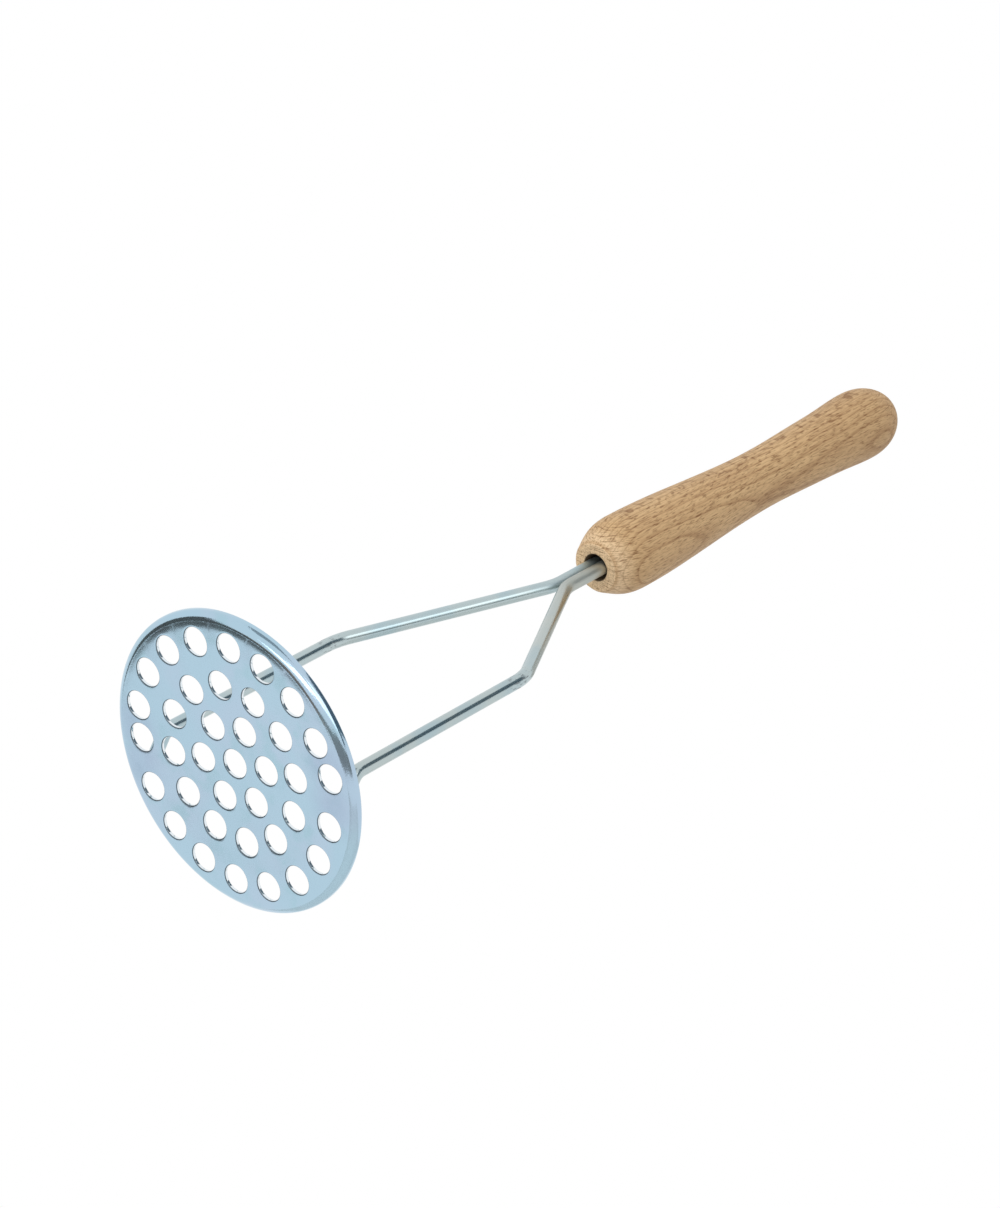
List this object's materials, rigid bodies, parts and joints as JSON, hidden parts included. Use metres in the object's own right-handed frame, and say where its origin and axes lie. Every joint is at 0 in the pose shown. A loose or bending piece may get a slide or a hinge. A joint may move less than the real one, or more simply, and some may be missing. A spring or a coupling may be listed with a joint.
{
  "type": "potato masher",
  "caption": "Round perforated steel mashing plate on two bent wire legs that run together into a turned beech handle.",
  "frame": {"origin": "centre of the plane that the mashing plate's flat land rests on", "axes": "+Z along the handle, from the mashing plate up to the butt; +X from the left leg to the right leg; +Y the way the welded feet point"},
  "size_m": [0.0894, 0.0894, 0.3075],
  "materials": {
    "plate_steel": "bright zinc plate with a faint bluish cast",
    "wire_steel": "bright zinc plate on drawn wire",
    "beech": "turned and sanded, bare or lightly oiled"
  },
  "bodies": {
    "root": {"mashing_plate": "plate_steel", "leg_wire_left": "wire_steel", "leg_wire_right": "wire_steel", "handle": "beech"}
  },
  "joints": []
}
